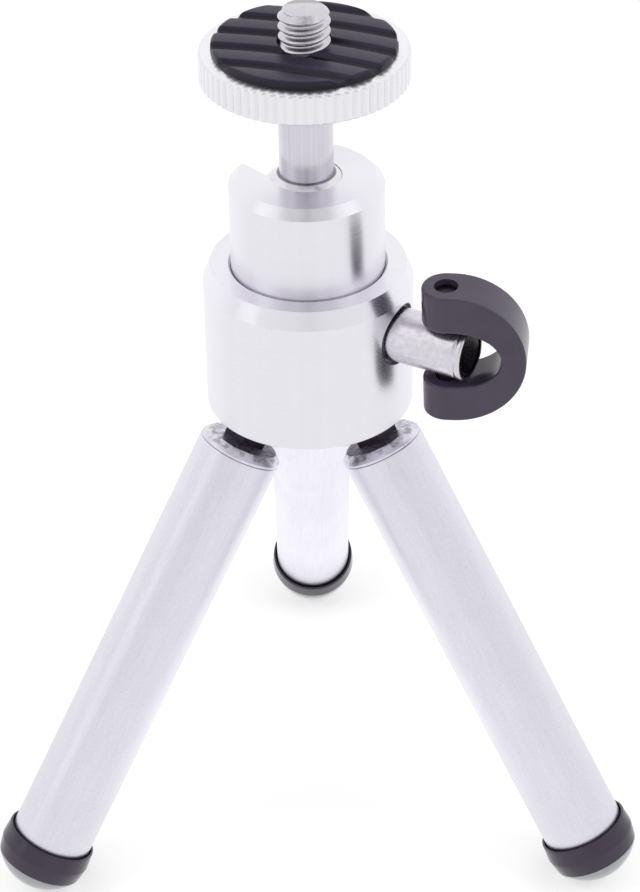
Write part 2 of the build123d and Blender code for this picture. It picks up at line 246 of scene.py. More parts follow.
def rounded(corners):
    """Profile through (r, z) or (r, z, radius) corners, where a radius makes the corner an arc."""
    points = []
    for i, (r, z, *arc) in enumerate(corners):
        here = Vector((r, z))
        if not arc:
            points.append(tuple(here))
            continue
        radius = arc[0]
        before = (Vector(corners[i - 1][:2]) - here).normalized()
        after = (Vector(corners[(i + 1) % len(corners)][:2]) - here).normalized()
        half = before.angle(after) / 2
        centre = here + (before + after).normalized() * (radius / sin(half))
        run = radius / tan(half)
        first = here + before * run - centre
        last = here + after * run - centre
        for k in range(ARC_STEPS + 1):
            spoke = first.lerp(last, k / ARC_STEPS).normalized() * radius
            points.append(tuple(centre + spoke))
    return points


def basis(origin, z_axis, x_axis):
    """Matrix of a local frame with this origin and these axes."""
    turn = Matrix((x_axis, z_axis.cross(x_axis), z_axis)).transposed()
    return Matrix.Translation(origin) @ turn.to_4x4()


def hand_over(piece, matrix, body, material, node):
    """Put the piece in its local frame, on a body, with its material, in place of a CAD node."""
    piece.matrix_world = matrix
    piece.data.materials.append(material)
    bpy.context.view_layer.update()
    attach(piece, body)
    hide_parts(node)


# --- nodes ----------------------------------------------------------------------------


class Graph:
    """Shorthand for building the nodes of a material, or of the world."""

    def __init__(self, owner, shader="Principled BSDF"):
        self.owner = owner
        self.owner.use_nodes = True
        self.tree = self.owner.node_tree
        self.shader = self.tree.nodes[shader]

    def feed(self, socket, value):
        """Link an output to the socket, or set the socket's own value."""
        if isinstance(value, bpy.types.NodeSocket):
            self.tree.links.new(value, socket)
        else:
            socket.default_value = value

    def add(self, kind, inputs, **settings):
        """Node of a kind, with inputs by name or number."""
        made = self.tree.nodes.new("ShaderNode" + kind)
        for key, value in settings.items():
            setattr(made, key, value)
        for key, value in inputs.items():
            self.feed(made.inputs[key], value)
        return made

    def set(self, **inputs):
        """Feed the shader's own sockets."""
        for key, value in inputs.items():
            self.feed(self.shader.inputs[key.replace("_", " ")], value)

    def place(self):
        """Object coordinates."""
        return self.add("TexCoord", {}).outputs["Object"]

    def math(self, operation, a, b=0.0):
        """Result of a Math node."""
        return self.add("Math", {0: a, 1: b}, operation=operation).outputs[0]

    def vector(self, operation, a, b=(0, 0, 0)):
        """Outputs of a VectorMath node: its result is under Vector or under Value."""
        return self.add("VectorMath", {0: a, 1: b}, operation=operation).outputs

    def dot(self, vector, direction):
        """How far a vector goes in a direction."""
        return self.vector("DOT_PRODUCT", vector, Vector(direction).normalized())["Value"]

    def split(self, vector):
        """A vector's X, Y and Z."""
        return self.add("SeparateXYZ", {"Vector": vector}).outputs

    def noise(self, vector, scale, detail=2.0, roughness=0.5):
        """Noise, around 0.5."""
        inputs = {"Vector": vector, "Scale": scale, "Detail": detail, "Roughness": roughness}
        return self.add("TexNoise", inputs).outputs["Fac"]

    def span(self, value, start, end, low, high, interpolation_type="LINEAR"):
        """Value mapped from start..end to low..high."""
        ends = {"Value": value, "From Min": start, "From Max": end, "To Min": low, "To Max": high}
        return self.add("MapRange", ends, interpolation_type=interpolation_type).outputs["Result"]

    def smooth(self, value, start, end, low, high):
        """Value mapped as span does it, with eased ends."""
        return self.span(value, start, end, low, high, "SMOOTHSTEP")

    def weighed(self, first, second, share):
        """Mean of two values, with the first one's share."""
        return self.math("ADD", self.math("MULTIPLY", first, share), self.math("MULTIPLY", second, 1 - share))

    def blend(self, factor, first, second):
        """Colour mixed from two, by a factor. The node's sockets go by number, because names repeat."""
        return self.add("Mix", {0: factor, 6: first, 7: second}, data_type="RGBA").outputs[2]

    def pick(self, factor, first, second):
        """Number mixed from two, by a factor."""
        return self.add("Mix", {0: factor, 2: first, 3: second}).outputs[0]

    def bump(self, height, distance):
        """Normal bent by a height."""
        return self.add("Bump", {"Height": height, "Distance": distance}).outputs["Normal"]

    def across(self, centre, direction):
        """Distance from the line through a point, and how far along it from the point."""
        away = self.vector("SUBTRACT", self.place(), centre)["Vector"]
        crossed = self.vector("CROSS_PRODUCT", away, direction)["Vector"]
        return self.vector("LENGTH", crossed)["Value"], self.dot(away, direction)

    def radius_and_height(self):
        """Vector of the distance from the object's Z axis and the height along it."""
        parts = self.split(self.place())
        flat = self.add("CombineXYZ", {"X": parts["X"], "Y": parts["Y"]}).outputs[0]
        radius = self.vector("LENGTH", flat)["Value"]
        return self.add("CombineXYZ", {"X": radius, "Y": parts["Z"]}).outputs[0]

    def spoke(self):
        """Unit vector outwards from the object's Z axis."""
        return self.vector("NORMALIZE", self.vector("MULTIPLY", self.place(), (1, 1, 0))["Vector"])["Vector"]


def new_material(name):
    """Graph of a new material."""
    return Graph(bpy.data.materials.new(name))


def shaded(colour, factor):
    """Colour times a factor, with full alpha."""
    return tuple(factor * c for c in colour) + (1,)


def around(value, share):
    """Value less a share of itself, and value plus that share."""
    return value * (1 - share), value * (1 + share)


# --- values of the looks --------------------------------------------------------------

# Noise scales, in cells to the metre. Streaks are in cells to the radius of a unit circle.
RINGS = 9000
CLOUDS = 180
STREAKS = 9
MOTTLE = 1500
CAST_PITS = 4000
SPOTS = 1300
TUBE_GRAIN = 5000
TUBE_PITS = 3500
TUBE_CLOUDS = 90
WEAR_CLOUDS = 260

# Spans of a noise, or of the sum of two, over which something changes.
TINT_SPAN = (0.35, 0.65)
TUBE_TINT_SPAN = (0.36, 0.62)
WEAR_SPAN = (0.35, 0.75)
SPOTS_SPAN = (0.36, 0.62)
GLOSS_SPAN = (0.3, 0.7)
RING_SUM_SPAN = (0.6, 1.4)
GRAIN_SUM_SPAN = (0.7, 1.3)
SPOTS_FADE = 0.2  # added to the spots' noise at the lower end of the bevel

# Bumps, in metres, and how far roughness varies as a share of itself.
CAST_BUMP = 3e-6
TUBE_BUMP = 4e-6
TUBE_ROUGHNESS = (0.3, 0.4)
TUBE_GRAIN_STRETCH = (1, 1, 0.04)
ROUGHNESS_SHARE = 0.15
CAST_ROUGHNESS_SHARE = -0.2  # the mottle's light places are the smooth ones
ACROSS_RINGS = 0.25  # anisotropic rotation that lays highlights across the lathe's rings

# Shares of a colour: its darkest variation, painted shade down in a recess, and where oil or painted shade lies on
# metal.
CAST_DARKEST = 0.9
TUBE_DARKEST = 0.92
RECESS_SHADE = 0.25
BORE_SHADE = 0.2
COLLAR_SEAM_SHADE = 0.7
STEM_SEAM_SHADE = 0.25
WEAR_SHADE = 0.5
FLUTE_SHADE = 0.94

# Near black: oil spots on the leg heads, painted shade in bores, seams and flutes, and the barrel's dark end face.
OIL_AND_SHADE = (0.035, 0.026, 0.036, 1)
ALUMINIUM = (0.848, 0.832, 0.892)
KNURL = (0.88, 0.87, 0.91)
WORN_ALUMINIUM = (0.80, 0.77, 0.87)
ANODISED = (0.8, 0.785, 0.86)
STEEL = (0.73, 0.705, 0.745)
STEM = (0.71, 0.68, 0.75)
BALL = (0.79, 0.765, 0.81)
BARREL = (0.74, 0.705, 0.77)
THREAD = (0.68, 0.655, 0.71)
# Near black: on the leg tongues it is painted shade under the body.
NEAR_BLACK = (0.045, 0.035, 0.05)
FOOT_BLACK, FOOT_WORN = (0.029, 0.012, 0.041), (0.039, 0.022, 0.056)
# Painted reflection: the sole's pale grey stands in for the floor reflected in the foot's lower edge.
SOLE_REFLECTION_GREY, SOLE_REFLECTION_WORN = (0.44, 0.46, 0.49), (0.5, 0.52, 0.55)
PAD_BLACK, PAD_WORN = (0.018, 0.008, 0.036), (0.027, 0.015, 0.048)
# Painted shade: the pad's grooves darken towards their bottoms.
PAD_GROOVE_SHADE = (PAD_FLOOR, PAD_TOP - 0.1)  # heights that the pad's recess colour runs between
LEVER_BLACK, LEVER_WORN = (0.062, 0.043, 0.084), (0.077, 0.057, 0.1)
CUP_WHITE, CUP_WORN = (0.80, 0.79, 0.75), (0.85, 0.84, 0.80)

# --- where metal is clean and lit, from 0, painted near-black, to 1 -------------------


def clamp_bore(g):
    """Painted shade inside the body's bore for the clamp screw."""
    joint = JOINTS["clamp_turn"]
    distance, along = g.across(Vector(joint["pos_m"]), Vector(joint["axis"]))
    near = g.math("LESS_THAN", distance, BORE_RADIUS * MM)
    inside = g.math("MULTIPLY", near, g.math("GREATER_THAN", along, 0))
    return g.span(inside, 0, 1, 1, BORE_SHADE)


def ball_mouth(g):
    """Painted shade: 0 inside the collar's mouth round the ball, and darker where the collar runs into the body.
    """
    ball, lip = Vector(JOINTS["ball_tilt"]["pos_m"]), high_of("ball_collar")
    mouth = sqrt(half_width("ball") ** 2 - (lip - ball.z) ** 2) + MOUTH_MARGIN * MM
    distance, above = g.across(ball, UP)
    near = g.math("LESS_THAN", distance, mouth)
    inside = g.math("MULTIPLY", near, g.math("LESS_THAN", above, lip - ball.z - MOUTH_DROP * MM))
    start, end = (high_of("body") - ball.z + height for height in metres(COLLAR_SEAM))
    seam = g.smooth(above, start, end, COLLAR_SEAM_SHADE, 1)
    return g.math("MULTIPLY", g.math("SUBTRACT", 1, inside), seam)


def stem_seam(g):
    """Painted shade in the fine groove round the stem's foot on the ball."""
    distance = g.across(Vector(JOINTS["ball_tilt"]["pos_m"]), UP)[0]
    start, end = (half_width("stem") + width for width in metres(STEM_SEAM))
    return g.smooth(distance, start, end, STEM_SEAM_SHADE, 1)


def dished_end(g):
    """0 on the barrel's dark end face."""
    distance, along = g.across(ORIGIN, UP)
    near = g.math("LESS_THAN", distance, (BARREL_RADIUS - DARK_END_INSET) * MM)
    inside = g.math("MULTIPLY", near, g.math("GREATER_THAN", along, (BARREL_END - DARK_END_DEPTH) * MM))
    return g.math("SUBTRACT", 1, inside)


def worn_end(g):
    """Oily spots on a leg head's end face, fewer down its bevel."""
    place = g.place()
    fade = g.span(g.split(place)["Z"], HEAD_START * MM, (HEAD_START + HEAD_CHAMFER) * MM, 0, SPOTS_FADE)
    spots = g.math("ADD", g.noise(place, SPOTS, roughness=0.55), fade)
    return g.smooth(spots, *SPOTS_SPAN, WEAR_SHADE, 1)


def between_flutes(g):
    """Painted shade: darker down in the knurl's flutes than on its crests and on the flat faces."""
    rim = half_width("platform")
    distance = g.across(ORIGIN, UP)[0]
    crest = g.span(distance, rim - FLUTE_DEPTH * MM, rim, FLUTE_SHADE, 1)
    flat = g.span(distance, rim - PLATFORM_EDGE * MM, rim - (FLUTE_DEPTH + FLUTE_MARGIN) * MM, 1, 0)
    return g.math("MAXIMUM", crest, flat)


# --- materials ------------------------------------------------------------------------


def turned_metal(name, colour, roughness, anisotropy, streaks=0.02, rings=0.5e-6, clean_and_lit=None):
    """Lathe-turned metal: fine rings spread reflections into streaks. The last argument says where painted shade
    darkens it.
    """
    g = new_material(name)
    fine = g.noise(g.radius_and_height(), RINGS, detail=1.0)
    cloud = g.noise(g.place(), CLOUDS, detail=3.0)
    streak = g.noise(g.spoke(), STREAKS, detail=4.0, roughness=0.7)
    tone = g.weighed(streak, cloud, share=0.7)
    tint = g.blend(g.span(tone, *TINT_SPAN, 0, 1), shaded(colour, 1 - 2 * streaks), shaded(colour, 1))
    if clean_and_lit:
        tint = g.blend(clean_and_lit(g), OIL_AND_SHADE, tint)
    g.set(
        Base_Color=tint,
        Metallic=1.0,
        Roughness=g.span(g.math("ADD", fine, cloud), *RING_SUM_SPAN, *around(roughness, ROUGHNESS_SHARE)),
        Anisotropic=anisotropy,
        Anisotropic_Rotation=ACROSS_RINGS,
        Tangent=g.add("Tangent", {}, direction_type="RADIAL", axis="Z").outputs[0],
        Normal=g.bump(fine, rings),
    )
    return g.owner


def cast_metal(name, colour, roughness, clean_and_lit):
    """Plated casting: a mottled, faintly pitted skin. The last argument says where it is darkened towards near
    black, for the oily spots on the leg heads and the barrel's dark end face.
    """
    g = new_material(name)
    mottle = g.noise(g.place(), MOTTLE, detail=3.0, roughness=0.6)
    pits = g.noise(g.place(), CAST_PITS)
    tint = g.blend(g.span(mottle, *TINT_SPAN, 0, 1), shaded(colour, CAST_DARKEST), shaded(colour, 1))
    g.set(
        Base_Color=g.blend(clean_and_lit(g), OIL_AND_SHADE, tint),
        Metallic=1.0,
        Roughness=g.span(mottle, *GLOSS_SPAN, *around(roughness, CAST_ROUGHNESS_SHARE)),
        Normal=g.bump(g.math("ADD", mottle, pits), CAST_BUMP),
    )
    return g.owner


def anodised_metal(name, colour):
    """Satin anodised tube: fine grain along its length, faint pits and clouding."""
    g = new_material(name)
    place = g.place()
    grain = g.noise(g.vector("MULTIPLY", place, TUBE_GRAIN_STRETCH)["Vector"], TUBE_GRAIN)
    pits = g.noise(place, TUBE_PITS, roughness=0.6)
    cloud = g.noise(place, TUBE_CLOUDS, detail=3.0)
    tone = g.weighed(grain, pits, share=0.45)
    tint = g.blend(g.span(tone, *TUBE_TINT_SPAN, 0, 1), shaded(colour, TUBE_DARKEST), shaded(colour, 1))
    g.set(
        Base_Color=tint,
        Metallic=1.0,
        Roughness=g.span(cloud, *GLOSS_SPAN, *TUBE_ROUGHNESS),
        Normal=g.bump(g.math("ADD", grain, pits), TUBE_BUMP),
    )
    return g.owner


def moulded(name, colour, worn, roughness, grain_size, depth, specular=0.5, recess=None):
    """Moulded rubber or plastic: fine grain, clouded with a lighter wear, with painted shade down in a recess."""
    g = new_material(name)
    place = g.place()
    grain = g.noise(place, 1 / (grain_size * MM), roughness=0.6)
    cloud = g.noise(place, WEAR_CLOUDS, detail=4.0, roughness=0.6)
    tint = g.blend(g.span(cloud, *WEAR_SPAN, 0, 1), shaded(colour, 1), shaded(worn, 1))
    # painted shade, darker towards the bottom of a recess
    if recess:
        out = g.span(g.split(place)["Z"], *metres(recess), 0, 1)
        tint = g.blend(out, shaded(colour, RECESS_SHADE), tint)
    g.set(
        Base_Color=tint,
        Roughness=g.span(g.math("ADD", cloud, grain), *GRAIN_SUM_SPAN, *around(roughness, ROUGHNESS_SHARE)),
        Specular_IOR_Level=specular,
        Normal=g.bump(grain, depth),
    )
    return g.owner


body_aluminium = turned_metal("body_aluminium", ALUMINIUM, roughness=0.29, anisotropy=0.6, streaks=0.01,
                              rings=0.15e-6, clean_and_lit=clamp_bore)
collar_aluminium = turned_metal("collar_aluminium", ALUMINIUM, roughness=0.3, anisotropy=0.7, streaks=0.01,
                                rings=0.3e-6, clean_and_lit=ball_mouth)
knurled_aluminium = turned_metal("knurled_aluminium", KNURL, roughness=0.26, anisotropy=0.5,
                                 clean_and_lit=between_flutes)
turned_aluminium = turned_metal("turned_aluminium", ALUMINIUM, roughness=0.28, anisotropy=0.7)
scratched_aluminium = cast_metal("scratched_aluminium", WORN_ALUMINIUM, roughness=0.36, clean_and_lit=worn_end)
steel = turned_metal("steel", STEEL, roughness=0.28, anisotropy=0.5, streaks=0.06)
stem_steel = turned_metal("stem_steel", STEM, roughness=0.17, anisotropy=0.6, streaks=0.07)
ball_steel = turned_metal("ball_steel", BALL, roughness=0.18, anisotropy=0.3, clean_and_lit=stem_seam)
barrel_steel = cast_metal("barrel_steel", BARREL, roughness=0.26, clean_and_lit=dished_end)
thread_steel = turned_metal("thread_steel", THREAD, roughness=0.24, anisotropy=0.0, streaks=0.06)
# near-black steel: on the leg tongues it is painted shade under the body
dark_steel = turned_metal("dark_steel", NEAR_BLACK, roughness=0.3, anisotropy=0.0)
tube_metal = anodised_metal("anodised_tube", ANODISED)
foot_rubber = moulded("foot_rubber", FOOT_BLACK, FOOT_WORN, roughness=0.14, grain_size=0.16, depth=2e-6,
                      specular=0.6)
# painted reflection: pale grey in place of the floor reflected at the foot's lower edge
sole_reflection_rubber = moulded("sole_reflection_rubber", SOLE_REFLECTION_GREY, SOLE_REFLECTION_WORN, roughness=0.1, grain_size=0.16, depth=2e-6,
                      specular=0.8)
pad_rubber = moulded("pad_rubber", PAD_BLACK, PAD_WORN, roughness=0.34, grain_size=0.12, depth=6e-6,
                     specular=0.36, recess=PAD_GROOVE_SHADE)
lever_plastic = moulded("lever_plastic", LEVER_BLACK, LEVER_WORN, roughness=0.22, grain_size=0.1, depth=2e-6)
seat_plastic = moulded("seat_plastic", CUP_WHITE, CUP_WORN, roughness=0.4, grain_size=0.2, depth=3e-6)

# --- CAD nodes that stay --------------------------------------------------------------

KEPT = {
    "body": body_aluminium,
    "ball_collar": collar_aluminium,
    "leg_hub": turned_aluminium,
    "clamp_cone": turned_aluminium,
    "ball": ball_steel,
    "stem": stem_steel,
    "lever_pin": dark_steel,
    "ball_seat": seat_plastic,
    "clamp_lever": lever_plastic,
    **{f"leg_pin_{leg}": steel for leg in LEGS},
}


def dress_kept_nodes():
    """Give each CAD node that stays its material."""
    for name, material in KEPT.items():
        node = frame["nodes"][name]
        node.data.materials.clear()
        node.data.materials.append(material)


# --- legs -----------------------------------------------------------------------------


def leg_frame(leg, sideways=None):
    """Local frame of an open leg: origin on its hinge pin, Z down the leg, X along the pin or sideways."""
    joint = JOINTS[f"leg_fold_{leg}"]
    pivot = Vector(joint["pos_m"])
    radial = Vector((pivot.x, pivot.y, 0)).normalized()
    along = radial * sin(LEG_SPLAY) - UP * cos(LEG_SPLAY)
    across = sideways or Vector(joint["axis"])
    return basis(pivot, along, (across - along * across.dot(along)).normalized())


def make_head(leg, place):
    """Leg's metal head: a bevelled end, and a spigot in the tube."""
    side = TUBE_RADIUS - HEAD_INSET
    head = turned(f"leg_top_{leg}", rounded([
        (0, HEAD_START),
        (TUBE_RADIUS - HEAD_CHAMFER, HEAD_START, HEAD_EDGE),
        (side, HEAD_START + HEAD_CHAMFER, SOFT_EDGE),
        (side, TUBE_START - HEAD_GAP, HEAD_GAP_EDGE),
        (TUBE_BORE, TUBE_START - HEAD_GAP_INSIDE),
        (TUBE_BORE, SPIGOT_END),
        (0, SPIGOT_END),
    ]))
    hand_over(head, place, f"leg_{leg}", scratched_aluminium, f"leg_head_{leg}")


def make_tongue(leg):
    """Flat hinge tongue with a round end, bored for the pin."""
    reach = HEAD_START + TONGUE_ROOT
    outline, hole = [], []
    for turn in turns(TONGUE_POINTS):
        y, z = sin(turn), cos(turn)
        size = TONGUE_HALF
        if z > 0:
            size /= max(abs(y), z * TONGUE_HALF / reach)
        outline.append((size * y, size * z))
        hole.append((PIN_BORE * y, PIN_BORE * z))
    half, edge = TONGUE_THICKNESS / 2, SOFT_EDGE
    rows = []
    for loop, x, inset in (
        (hole, -half, 0),
        (outline, -half, edge),
        (outline, edge - half, 0),
        (outline, half - edge, 0),
        (outline, half, edge),
        (hole, half, 0),
    ):
        k = 1 - inset / TONGUE_HALF
        rows.append([(x * MM, k * y * MM, k * z * MM) for y, z in loop])
    tongue = skin(f"leg_tongue_{leg}", rows, loop=True)
    # the tongue's near-black steel is painted shade, where it sits under the body
    hand_over(tongue, leg_frame(leg), f"leg_{leg}", dark_steel, f"leg_head_{leg}")


def make_tube(leg, place):
    """Leg's anodised tube."""
    tube = turned(f"tube_{leg}", rounded([
        (TUBE_BORE, TUBE_START),
        (TUBE_RADIUS, TUBE_START, FINE_EDGE),
        (TUBE_RADIUS, TUBE_END, FINE_EDGE),
        (TUBE_BORE, TUBE_END),
    ]), loop=True)
    hand_over(tube, place, f"leg_{leg}", tube_metal, f"leg_tube_{leg}")


def make_foot(leg, place):
    """Black side of the rubber foot, with an open mouth round the tube."""
    lip = TUBE_RADIUS + FOOT_WALL
    foot = turned(f"foot_{leg}", rounded([
        (0, TUBE_END),
        (TUBE_RADIUS, TUBE_END),
        (TUBE_RADIUS, FOOT_START + FOOT_MOUTH_DEPTH),
        (TUBE_RADIUS + FOOT_MOUTH, FOOT_START + CRISP_EDGE),
        (lip - CRISP_EDGE, FOOT_START, CRISP_EDGE),
        (lip, FOOT_START + FINE_EDGE, FINE_EDGE),
        (FOOT_RADIUS, FOOT_START + FOOT_WIDEST, FOOT_BELLY),
        (FOOT_CREASE_RADIUS, FOOT_CREASE, CRISP_EDGE),
        (0, FOOT_CREASE),
    ]))
    foot.data.transform(place)
    hand_over(foot, Matrix(), f"leg_{leg}", foot_rubber, f"foot_cap_{leg}")


def make_sole(leg, place):
    """Domed sole of the rubber foot; its grey is a painted reflection of the pale floor."""
    centre = FOOT_CREASE - sqrt(SOLE_DOME**2 - FOOT_CREASE_RADIUS**2)
    rim = FOOT_CREASE_RADIUS - SOLE_INSET
    dome = [(0, FOOT_CREASE - 2 * SOLE_SUNK), (rim, FOOT_CREASE - SOLE_SUNK)]
    for k in range(DOME_STEPS + 1):
        r = rim * cos(pi / 2 * k / DOME_STEPS)
        dome.append((r, centre + sqrt(SOLE_DOME**2 - r**2)))
    sole = turned(f"sole_{leg}", dome)
    sole.data.transform(place)
    hand_over(sole, Matrix(), f"leg_{leg}", sole_reflection_rubber, f"foot_cap_{leg}")


def make_leg(leg):
    """Head with its tongue, tube and rubber foot."""
    place = leg_frame(leg, Vector((1, 0, 0)))
    make_head(leg, place)
    make_tongue(leg)
    make_tube(leg, place)
    make_foot(leg, place)
    make_sole(leg, place)


# --- platform, pad and camera screw ---------------------------------------------------


def flute(turn):
    """Depth of the knurl at an angle, 0 on a crest and 1 in a flute."""
    return (0.5 + 0.5 * cos(turn * FLUTES)) ** FLUTE_POWER


def make_platform():
    """Disc with a straight-knurled rim and softly broken edges."""
    radius = half_width("platform") / MM
    height = (high_of("platform") - low_of("platform")) / MM
    inner = radius - PLATFORM_EDGE
    edge = []
    for turn in (radians(a) for a in PLATFORM_EDGE_ANGLES):
        edge.append((inner + PLATFORM_EDGE * sin(turn), PLATFORM_EDGE * (1 - cos(turn))))
    outer = edge + [(r, height - z) for r, z in reversed(edge)]
    rows = [[(0, 0, 0)]]
    for r, z in outer:
        share = (r - inner) / PLATFORM_EDGE
        row = []
        for turn in turns(FLUTES * FLUTE_POINTS):
            reach = (r - FLUTE_DEPTH * share * flute(turn)) * MM
            row.append((reach * cos(turn), reach * sin(turn), z * MM))
        rows.append(row)
    rows.append([(0, 0, height * MM)])
    disc = skin("knurled_platform", rows)
    place = Matrix.Translation((0, 0, low_of("platform")))
    hand_over(disc, place, "head", knurled_aluminium, "platform")


def pad_height(x, y):
    """Height of the pad's top at a point, in millimetres: crowned ribs between arc grooves."""
    from_centre = hypot(x - GROOVE_DISTANCE * cos(GROOVE_AZIMUTH), y - GROOVE_DISTANCE * sin(GROOVE_AZIMUTH))
    pitches = (from_centre - GROOVE_DISTANCE - GROOVE_OFFSET) / GROOVE_PITCH
    off = abs((pitches + 0.5) % 1 - 0.5) * GROOVE_PITCH
    share = min(1, max(0, (off - GROOVE_FLOOR) / GROOVE_FLANK))
    flank = share**2 * (3 - 2 * share)  # eased at both ends
    crown = RIB_CROWN * (2 * off / GROOVE_PITCH - 1) ** 2
    return PAD_FLOOR + (PAD_TOP - PAD_FLOOR) * flank - crown * flank


def make_pad():
    """Rubber pad, whose ribs run out at its rounded edge."""
    rows = [ring(PAD_HOLE * MM, 0, PAD_POINTS), ring(PAD_RADIUS * MM, 0, PAD_POINTS)]
    inner = PAD_RADIUS - PAD_EDGE
    radii = [inner + PAD_EDGE * cos(radians(a)) for a in PAD_EDGE_ANGLES]
    radii += [inner - (inner - PAD_HOLE) * k / PAD_RINGS for k in range(PAD_RINGS + 1)]
    for r in radii:
        into_edge = max(0, r - inner) / PAD_EDGE
        drop = PAD_EDGE * (1 - sqrt(1 - into_edge**2))
        row = []
        for turn in turns(PAD_POINTS):
            x, y = r * cos(turn), r * sin(turn)
            row.append((x * MM, y * MM, (pad_height(x, y) - drop) * MM))
        rows.append(row)
    pad = skin("ribbed_pad", rows, loop=True, sharp_angle=RIB_SHARP)
    place = Matrix.Translation((0, 0, high_of("platform")))
    hand_over(pad, place, "head", pad_rubber, "platform_pad")


def make_stud():
    """Camera screw with its real thread, a chamfered end and a centre mark."""
    radius = MOUNTS["camera_screw"]["dims"]["r_mm"]
    height = (high_of("camera_stud") - high_of("platform")) / MM
    tail = STUD_TAIL * MM
    rows = [[(0, 0, -tail)], ring(tail, -tail, STUD_POINTS), ring(tail, 0, STUD_POINTS)]
    levels = int(height / THREAD_PITCH * STUD_STEPS)
    for i in range(levels + 1):
        z = height * i / levels
        end = STUD_FLAT + (radius - STUD_FLAT) * (height - z) / STUD_CHAMFER
        row = []
        for turn in turns(STUD_POINTS):
            wave = 0.5 - 0.5 * cos(2 * pi * (z - THREAD_START) / THREAD_PITCH - turn)
            r = min(radius - THREAD_DEPTH * (1 - wave**THREAD_POWER), end)
            row.append((r * cos(turn) * MM, r * sin(turn) * MM, z * MM))
        rows.append(row)
    rows += [ring(CENTRE_MARK * MM, height * MM, STUD_POINTS), [(0, 0, (height - 2 * CENTRE_MARK) * MM)]]
    stud = skin("threaded_stud", rows, sharp_angle=RIB_SHARP)
    place = Matrix.Translation((0, 0, high_of("platform")))
    hand_over(stud, place, "head", thread_steel, "camera_stud")


# --- clamp ----------------------------------------------------------------------------


def make_barrel():
    """Clamp screw: cone point, smooth barrel, a fine groove near its end and a dished end face."""
    joint = JOINTS["clamp_turn"]
    outward = Vector(joint["axis"]).normalized()
    place = basis(Vector(joint["pos_m"]), outward, outward.cross(UP).normalized())
    tip = BARREL_START - TIP_LENGTH
    groove = BARREL_END - BARREL_GROOVE
    barrel = turned("clamp_barrel", rounded([
        (0, tip),
        (TIP_FLAT, tip, CRISP_EDGE),
        (TIP_RADIUS, tip + TIP_RADIUS - TIP_FLAT, CRISP_EDGE),
        (TIP_RADIUS, BARREL_START),
        (BARREL_RADIUS, BARREL_START, SOFT_EDGE),
        (BARREL_RADIUS, groove - BARREL_GROOVE_HALF, SOFT_EDGE),
        (BARREL_RADIUS - BARREL_GROOVE_DEPTH, groove, SOFT_EDGE),
        (BARREL_RADIUS, groove + BARREL_GROOVE_HALF, SOFT_EDGE),
        (BARREL_RADIUS, BARREL_END, BARREL_EDGE),
        (BARREL_RADIUS - DISH_RIM, BARREL_END, CRISP_EDGE),
        (BARREL_RADIUS - DISH_FLOOR, BARREL_END - DISH_DEPTH, CRISP_EDGE),
        (0, BARREL_END - DISH_DEPTH),
    ]))
    hand_over(barrel, place, "clamp", barrel_steel, "clamp_screw")


# --- stage ----------------------------------------------------------------------------

# Floor. Its light in reflections grows from the front value, at the body's axis, to the back value.
FLOOR_HALF = 1500
FLOOR_GREY = (0.8, 0.8, 0.8, 1)
FLOOR_ROUGHNESS = 0.9
FLOOR_GLOW = 0.5  # added where the camera sees it, so that it comes out nearly white
FLOOR_BACK = 120
FLOOR_LIGHT_FRONT = 0.99
FLOOR_LIGHT_BACK = 1.07
FLOOR_MIDDLE = (0, 30, 0)
FLOOR_MIDDLE_FADE = (30, 75)
FLOOR_LIGHT_MIDDLE = 0.22  # added between the legs

# Surroundings. Directions are fixed in the frame of the CAD model. A span says how far a direction goes
# along another one, from 0, across it, to 1, along it.
FRONT = (0, -1, 0)
FRONT_SPAN = (-0.5, 0.3)
FRONT_LIGHT = 0.88
FRONT_ABOVE = (0, -0.5, 0.87)
PATCH_SPAN = (0.6, 0.97)
PATCH_LIGHT = 0.8
SIDE = (1, 0, 0)
STRIPE_SPAN = (0.02, 0.07)
STRIPE_ABOVE_SPAN = (0.6, 0.8)
STRIPE_LIGHT = 0.56
BOXES = ((-0.68, -0.25, 0.7), (0.68, -0.25, 0.7))
BOX_SPAN = (0.93, 0.98)
BOX_LIGHT = 0.3
PANEL_SIDES = (radians(-76.4), radians(-54.9))  # azimuths from -Y towards +X
PANEL_SPAN = (0, 0.03)
PANEL_TOP_SPAN = (0.3, 0.5)
PANEL_LIGHT = 0.22
WORLD_FOR_DIFFUSE = 0.6
WORLD_FOR_GLOSSY = 1.04
WHITE = 1.0

SOFTBOX_AZIMUTH = radians(70)
SOFTBOX_ELEVATION = radians(44)
SOFTBOX_DISTANCE = 900
SOFTBOX_SIZE = 400
SOFTBOX_POWER = 1.0
SOFTBOX_TARGET = (0, 0, 80)

CAMERA_PLACE = (0, -281.77, 251.85)
CAMERA_PITCH = radians(-34.713)
CAMERA_YAW = radians(0.240)
CAMERA_ROLL = radians(-0.816)
CAMERA_LENS = 104.93
CAMERA_SENSOR = 36


